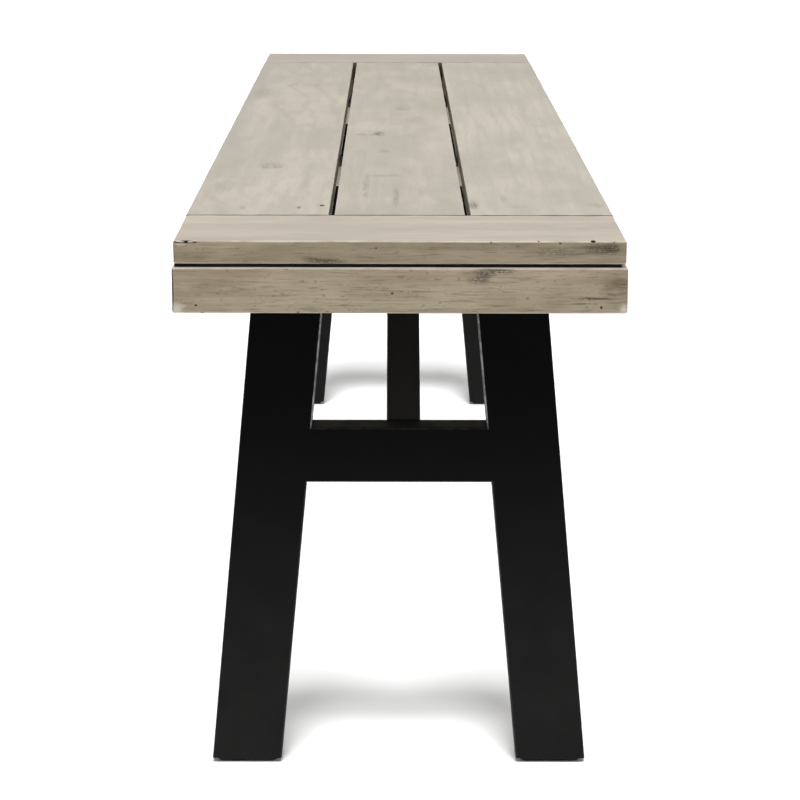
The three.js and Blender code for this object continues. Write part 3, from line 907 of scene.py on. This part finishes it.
def makeLeg(node, coat):
    low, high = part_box(node)
    footFront, footRear, slope = legStance(low, high)
    leg = newBox(node + "_tube", (low[0], footFront, low[2]), (high[0], footRear, high[2]))
    roundEdges(leg, lambda edge: runsAlong(edge, "Z"), frameSteel["cornerRadius"], 5)
    mesh = openMesh(leg, "VERT")
    pick(leg, mesh.verts, lambda vertex: vertex.co[2] > high[2] - nearly)
    bpy.ops.transform.translate(value=(0, slope * (high[2] - low[2]), 0))
    closeMesh()
    dropFaces(leg, lambda face: abs(face.normal[2]) > 0.9)
    applyModifier(leg, "SOLIDIFY", thickness=frameSteel["wall"], offset=-1, use_even_offset=True)
    easeEdges(leg, frameSteel["mouthEase"], 2, 60)
    finishPiece(leg, coat, node, flats=True)


def makeCrossbar(node, coat, leg):
    # the bar's ends run into the round of the legs' corners, where the weld is ground flush
    low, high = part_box(node)
    slope = legStance(*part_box(leg))[2]
    inward = abs(slope) * (high[2] - low[2])
    reach = frameSteel["cornerRadius"] + frameSteel["weldReach"]
    flush = frameSteel["flush"]
    bar = newBox(node + "_tube", (low[0] + flush, low[1] - reach, low[2]),
                 (high[0] - flush, high[1] + reach, high[2]))
    for side in (-1, 1):
        mesh = openMesh(bar, "VERT")
        pick(bar, mesh.verts, lambda vertex: vertex.co[2] > high[2] - nearly
             and vertex.co[1] * side > 0)
        bpy.ops.transform.translate(value=(0, -side * inward, 0))
        closeMesh()
    roundEdges(bar, lambda edge: runsAlong(edge, "Y"), frameSteel["cornerRadius"], 5)
    dropFaces(bar, lambda face: abs(face.normal[1]) > 0.9)
    applyModifier(bar, "SOLIDIFY", thickness=frameSteel["wall"], offset=-1, use_even_offset=True)
    finishPiece(bar, coat, node, flats=True)


def makeBrace(node, coat, plateNode, sign):
    low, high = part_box(node)
    plateLow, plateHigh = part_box(plateNode)
    crossLow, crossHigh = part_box(node.replace("brace", "crossbar"))
    size = frameSteel["braceSize"]
    back = crossLow[0] if sign > 0 else -crossHigh[0]
    plateMiddle = abs(plateLow[0] + plateHigh[0]) / 2
    # the upper side starts at the crossbar's inner top edge, and the axis meets the plate at its middle
    rise = plateLow[2] - crossHigh[2]
    run = back - plateMiddle
    angle = math.atan2(rise, run) + math.asin(size / 2 / math.hypot(rise, run))
    length = math.hypot(rise, run) + 4 * size
    middle = Vector((sign * (back + plateMiddle) / 2, (low[1] + high[1]) / 2, 0))
    axisAtCrossbar = crossHigh[2] - size / 2 / math.cos(angle)
    middle[2] = axisAtCrossbar + (back - abs(middle[0])) * math.tan(angle)
    bpy.ops.mesh.primitive_cube_add(size=1, location=middle, rotation=(0, sign * angle, 0))
    brace = bpy.context.active_object
    brace.name = node + "_tube"
    brace.scale = (length, size, size)
    bpy.ops.object.transform_apply(location=False, rotation=False, scale=True)
    roundEdges(brace, lambda edge: runsAlong(edge, "X"), frameSteel["cornerRadius"], 4)
    takeUp(brace)
    bpy.ops.object.transform_apply(location=True, rotation=True, scale=True)
    cutOff(brace, (sign * back, 0, 0), (sign, 0, 0), False)
    cutOff(brace, (0, 0, plateLow[2]), (0, 0, 1), False)
    applyModifier(brace, "SOLIDIFY", thickness=frameSteel["wall"], offset=-1, use_even_offset=True)
    finishPiece(brace, coat, node, flats=True)


def makePlate(name, end, coat, fastener):
    node = f"{name}_{end}"
    low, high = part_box(node)
    plate = newBox(node + "_plate", low, high)
    roundEdges(plate, lambda edge: runsAlong(edge, "Z"), frameSteel["plateRound"], 6)
    easeEdges(plate, frameSteel["plateEase"], 2, 50)
    drillHoles(plate, fastener, end, low[2] - cutterReach, high[2] + cutterReach)
    finishPiece(plate, coat, node, flats=True)


def makeFrames():
    coat = makePowderCoat("powderCoat", "Y")
    barCoat = makePowderCoat("powderCoatBar", "Z")
    for end, sign in ends.items():
        for row in rows:
            makeLeg(f"leg_{end}_{row}", coat)
        makeCrossbar(f"crossbar_{end}", barCoat, f"leg_{end}_rear")
        makeBrace(f"brace_{end}", coat, f"brace_plate_{end}", sign)
        makePlate("mounting_plate", end, coat, "leg_bolt")
        makePlate("brace_plate", end, coat, "brace_screw")
    print("steel frames done")


# Push-in plastic feet

feet = {
    "colour": (0.008, 0.008, 0.008),
    "scuffed": (0.03, 0.03, 0.029),
    "roughness": 0.55,
    "padInset": 0.0035,
    "padTop": 0.007,
    "padRound": 0.0045,
    "padBevel": 0.003,
    "plugRound": 0.001,
    "plugInset": 0.0023,
    "plugLift": 0.002,
}


def makeFeet():
    material, tree, shader, coordinates = startMaterial("footPlastic")
    grain = clouds(tree, coordinates, 700, 3, 0.6)
    scuff = clouds(tree, placed(tree, coordinates, scale=(1, 1, 6)), 60, 4, 0.6)
    give(tree, shader.inputs["Base Color"],
         tinted(tree, rescale(tree, scuff, 0.5, 0.8), feet["colour"], feet["scuffed"]))
    shader.inputs["Roughness"].default_value = feet["roughness"]
    shader.inputs["Specular IOR Level"].default_value = 0.25
    give(tree, shader.inputs["Normal"], bumped(tree, grain, 0.25, 0.0003))
    for end in ends:
        for row in rows:
            node = f"foot_{end}_{row}"
            legLow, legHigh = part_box(f"leg_{end}_{row}")
            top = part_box(node)[1][2]
            footFront, footRear, slope = legStance(legLow, legHigh)
            inset = feet["padInset"]
            pad = newBox(node + "_pad", (legLow[0] + inset, footFront + inset, 0),
                         (legHigh[0] - inset, footRear - inset, feet["padTop"]))
            roundEdges(pad, lambda edge: runsAlong(edge, "Z"), feet["padRound"], 5)
            roundEdges(pad, lambda edge: middleOf(edge)[2] < nearly, feet["padBevel"], 5)
            inset = feet["plugInset"]
            plugLow = legLow[2] + feet["plugLift"]
            plug = newBox("plug", (legLow[0] + inset, footFront + inset, plugLow),
                          (legHigh[0] - inset, footRear - inset, top))
            roundEdges(plug, lambda edge: runsAlong(edge, "Z"), feet["plugRound"], 3)
            for level in (plugLow, top):
                mesh = openMesh(plug, "VERT")
                pick(plug, mesh.verts, lambda vertex: abs(vertex.co[2] - level) < nearly)
                bpy.ops.transform.translate(value=(0, slope * (level - legLow[2]), 0))
                closeMesh()
            joinWith(pad, plug)
            finishPiece(pad, material, node)
    print("feet done")


# Bolts and screws

fastenerSteel = {
    "dark": (0.05, 0.05, 0.052),
    "light": (0.11, 0.11, 0.11),
    "roughness": (0.32, 0.5),
    "metallic": 0.9,
    "turnStep": 0.7,
}


def makeFastenerSteel():
    material, tree, shader, coordinates = startMaterial("blackenedSteel")
    cloud = clouds(tree, coordinates, 400, 3, 0.6)
    give(tree, shader.inputs["Base Color"],
         tinted(tree, rescale(tree, cloud, 0.4, 0.7), fastenerSteel["dark"], fastenerSteel["light"]))
    give(tree, shader.inputs["Roughness"], rescale(tree, cloud, 0.3, 0.7, *fastenerSteel["roughness"]))
    shader.inputs["Metallic"].default_value = fastenerSteel["metallic"]
    return material


def modelFastener(kind, sizes, bottom, top):
    # the head is at the bottom, and its shank is drawn up out of it
    radius = sizes["headRadius"]
    underside = bottom + sizes["headHeight"]
    head = newRod(kind, radius, bottom, underside, (0, 0), 48)
    roundEdges(head, lambda edge: middleOf(edge)[2] < bottom + nearly, sizes["dome"], 5)
    if kind == "leg_bolt":
        cutAway(head, newRod("hexSocket", sizes["socket"], bottom - cutterReach,
                             bottom + sizes["socketDepth"], (0, 0), 6))
    else:
        for wide, narrow in ((1, 0.28), (0.28, 1)):
            reach = Vector((sizes["socket"] * wide, sizes["socket"] * narrow, 0))
            cutAway(head, newBox("crossSlot", -reach + Vector((0, 0, bottom - cutterReach)),
                                 reach + Vector((0, 0, bottom + sizes["socketDepth"]))))
    mesh = openMesh(head, "FACE")
    pick(head, mesh.faces, lambda face: face.normal[2] > 0.99
         and face.calc_center_median()[2] > underside - nearly)
    bpy.ops.mesh.inset(thickness=radius - sizes["shankRadius"])
    bpy.ops.mesh.extrude_region_move(TRANSFORM_OT_translate={"value": (0, 0, top - underside)})
    closeMesh()
    return head


def makeFasteners():
    steel = makeFastenerSteel()
    for kind, sizes in fasteners.items():
        low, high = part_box(f"{kind}_right_1")
        model = modelFastener(kind, sizes, low[2], high[2])
        for end in ends:
            for number in range(1, sizes["count"] + 1):
                node = f"{kind}_{end}_{number}"
                low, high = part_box(node)
                middle = (low + high) / 2
                turn = Matrix.Rotation(fastenerSteel["turnStep"] * number, 4, "Z")
                move = Matrix.Translation((middle[0], middle[1], 0)) @ turn
                finishPiece(copyOf(model, node + "_steel", move), steel, node, 35)
        bpy.data.objects.remove(model)
    print("fasteners done")


makeSeat()
makeAprons()
makeStrips()
makeHiddenWood()
makeFrames()
makeFeet()
makeFasteners()


# Camera, floor and soft studio light

studio = {
    "lens": 109.68,
    "cameraPlace": (2.6032, -0.0053, 0.7853),
    "pitch": 13.544,
    "yaw": 0.170,
    "roll": 0.12,
    "floorColour": (0.38, 0.38, 0.379),
    "floorSize": 60,
    "horizonLight": 1.0,
    "endLight": 0.30,
    "sideLight": 2.3,
    "overheadLight": 0.9,
    "sideBand": (0.30, 0.75),
    "overheadBand": (0.75, 0.95),
    "aboveHorizon": (0.16, 0.36),
    "softKey": {"power": 62, "size": 3.0, "place": (0.7, 0, 2.9), "tilt": 14},
    "floorLight": {"strength": 7.6, "tilt": 26, "angle": 18},
}


def setCamera():
    camera = bpy.data.objects.new("camera", bpy.data.cameras.new("camera"))
    bpy.context.collection.objects.link(camera)
    camera.data.sensor_width = 36
    camera.data.lens = studio["lens"]
    camera.data.clip_start = 0.01
    camera.data.clip_end = 100
    turn = (Matrix.Rotation(math.radians(90 - studio["yaw"]), 4, "Z")
            @ Matrix.Rotation(math.radians(90 - studio["pitch"]), 4, "X")
            @ Matrix.Rotation(math.radians(studio["roll"]), 4, "Z"))
    camera.matrix_world = Matrix.Translation(studio["cameraPlace"]) @ turn
    bpy.context.scene.camera = camera


def laySheet():
    bpy.ops.mesh.primitive_grid_add(x_subdivisions=8, y_subdivisions=8, size=studio["floorSize"],
                                    location=(0, 0, 0))
    floor = bpy.context.active_object
    floor.name = "floor"
    material, tree, shader, coordinates = startMaterial("paleFloor")
    paper = clouds(tree, coordinates, 3, 2, 0.5)
    pale = studio["floorColour"]
    give(tree, shader.inputs["Base Color"],
         tinted(tree, paper, pale, tuple(channel * 0.995 for channel in pale)))
    shader.inputs["Roughness"].default_value = 0.9
    shader.inputs["Specular IOR Level"].default_value = 0.1
    floor.data.materials.append(material)
    floor.select_set(False)
    return floor


def lightFloor(floor):
    # a light for the floor alone, in which only the frames throw a shadow
    values = studio["floorLight"]
    light = bpy.data.objects.new("floorLight", bpy.data.lights.new("floorLight", "SUN"))
    bpy.context.collection.objects.link(light)
    light.data.energy = values["strength"]
    light.data.angle = math.radians(values["angle"])
    light.rotation_euler = (0, math.radians(values["tilt"]), 0)
    lit = bpy.data.collections.new("litFloor")
    lit.objects.link(floor)
    shading = bpy.data.collections.new("shadingFrames")
    for piece in bpy.data.objects:
        if piece.name.startswith(("leg_", "crossbar_", "mounting_plate_left")):
            if piece.name.endswith(("_tube", "_plate")):
                shading.objects.link(piece)
    light.light_linking.receiver_collection = lit
    light.light_linking.blocker_collection = shading


def lightStudio():
    world = bpy.data.worlds.new("softStudio")
    bpy.context.scene.world = world
    world.use_nodes = True
    tree = world.node_tree
    tree.nodes.clear()
    direction = tree.nodes.new("ShaderNodeTexCoord")
    height = tree.nodes.new("ShaderNodeSeparateXYZ")
    tree.links.new(direction.outputs["Generated"], height.inputs[0])
    aside = reckon(tree, "ABSOLUTE", height.outputs["Y"])
    side = rescale(tree, aside, *studio["sideBand"], studio["endLight"], studio["sideLight"])
    overhead = rescale(tree, height.outputs["Z"], *studio["overheadBand"])
    notOverhead = reckon(tree, "SUBTRACT", 1, overhead)
    sky = weighed(tree, (side, notOverhead), (overhead, studio["overheadLight"]))
    above = rescale(tree, height.outputs["Z"], *studio["aboveHorizon"])
    below = reckon(tree, "SUBTRACT", 1, above)
    level = weighed(tree, (sky, above), (below, studio["horizonLight"]))
    background = tree.nodes.new("ShaderNodeBackground")
    background.inputs["Color"].default_value = (1, 1, 1, 1)
    tree.links.new(level, background.inputs["Strength"])
    output = tree.nodes.new("ShaderNodeOutputWorld")
    tree.links.new(background.outputs["Background"], output.inputs["Surface"])
    values = studio["softKey"]
    key = bpy.data.objects.new("softKey", bpy.data.lights.new("softKey", "AREA"))
    bpy.context.collection.objects.link(key)
    key.data.energy = values["power"]
    key.data.size = values["size"]
    key.location = values["place"]
    key.rotation_euler = (0, math.radians(values["tilt"]), 0)
    bpy.context.scene.view_settings.view_transform = "Standard"


setCamera()
lightFloor(laySheet())
lightStudio()
print("studio done")
